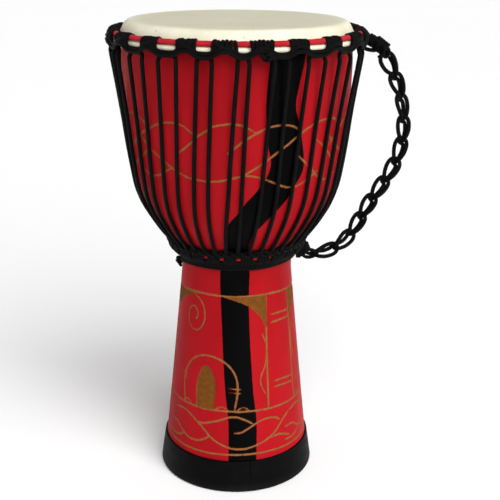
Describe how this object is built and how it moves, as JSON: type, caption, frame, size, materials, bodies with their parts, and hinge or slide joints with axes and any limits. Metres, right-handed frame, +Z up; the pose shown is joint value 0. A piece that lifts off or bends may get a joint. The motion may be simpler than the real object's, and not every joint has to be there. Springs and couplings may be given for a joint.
{
  "type": "djembe",
  "caption": "Rope-tuned goblet hand drum: carved and painted wooden shell, goatskin head on laced rings, rubber foot and a chain-plaited rope carrying handle.",
  "frame": {"origin": "centre of the rubber foot's underside, on the floor", "axes": "+Z up along the drum's axis, +X towards the carrying handle, -Y the front"},
  "size_m": [0.3762, 0.3223, 0.6],
  "materials": {
    "painted_wood": "gloss lacquer over red and black paint, carved lines bare",
    "skin": "scraped goatskin, matte",
    "ring_steel": "plain rod",
    "ring_cloth": "cotton strip, wound",
    "rope": "braided low-stretch cord",
    "foot_rubber": "matte moulded"
  },
  "bodies": {
    "drum": {"shell": "painted_wood", "rubber_foot": "foot_rubber", "drum_head": "skin", "head_skirt": "skin", "bottom_ring": "ring_steel", "bottom_ring_cloth": "ring_cloth", "bottom_loops": "rope", "waist_winding": "rope", "winding_knot": "rope", "handle_bottom_lashing": "rope", "lacing_01": "rope", "lacing_02": "rope", "lacing_03": "rope", "lacing_04": "rope", "lacing_05": "rope", "lacing_06": "rope", "lacing_07": "rope", "lacing_08": "rope", "lacing_09": "rope", "lacing_10": "rope", "lacing_11": "rope", "lacing_12": "rope", "lacing_13": "rope", "lacing_14": "rope", "lacing_15": "rope", "lacing_16": "rope", "lacing_17": "rope", "lacing_18": "rope", "lacing_19": "rope", "lacing_20": "rope"},
    "crown": {"crown_ring": "ring_steel", "crown_ring_cloth": "ring_cloth", "flesh_ring": "ring_steel", "crown_rope_knot": "rope", "handle_top_lashing": "rope", "crown_loop_01": "rope", "crown_loop_02": "rope", "crown_loop_03": "rope", "crown_loop_04": "rope", "crown_loop_05": "rope", "crown_loop_06": "rope", "crown_loop_07": "rope", "crown_loop_08": "rope", "crown_loop_09": "rope", "crown_loop_10": "rope", "crown_loop_11": "rope", "crown_loop_12": "rope", "crown_loop_13": "rope", "crown_loop_14": "rope", "crown_loop_15": "rope", "crown_loop_16": "rope", "crown_loop_17": "rope", "crown_loop_18": "rope", "crown_loop_19": "rope", "crown_loop_20": "rope"},
    "handle": {"handle_rope": "rope"}
  },
  "joints": [
    {"name": "tuning_pull", "type": "slide", "parent": "drum", "child": "crown", "axis": [0, 0, -1], "range_m": [0, 0.005], "deforming": ["head_skirt", "lacing_01", "lacing_02", "lacing_03", "lacing_04", "lacing_05", "lacing_06", "lacing_07", "lacing_08", "lacing_09", "lacing_10", "lacing_11", "lacing_12", "lacing_13", "lacing_14", "lacing_15", "lacing_16", "lacing_17", "lacing_18", "lacing_19", "lacing_20"]},
    {"name": "handle_swing", "type": "hinge", "parent": "crown", "child": "handle", "pos_m": [0.1725, 0, 0.573], "axis": [0.2966, 0, 0.955], "range_deg": [-60, 60]}
  ]
}
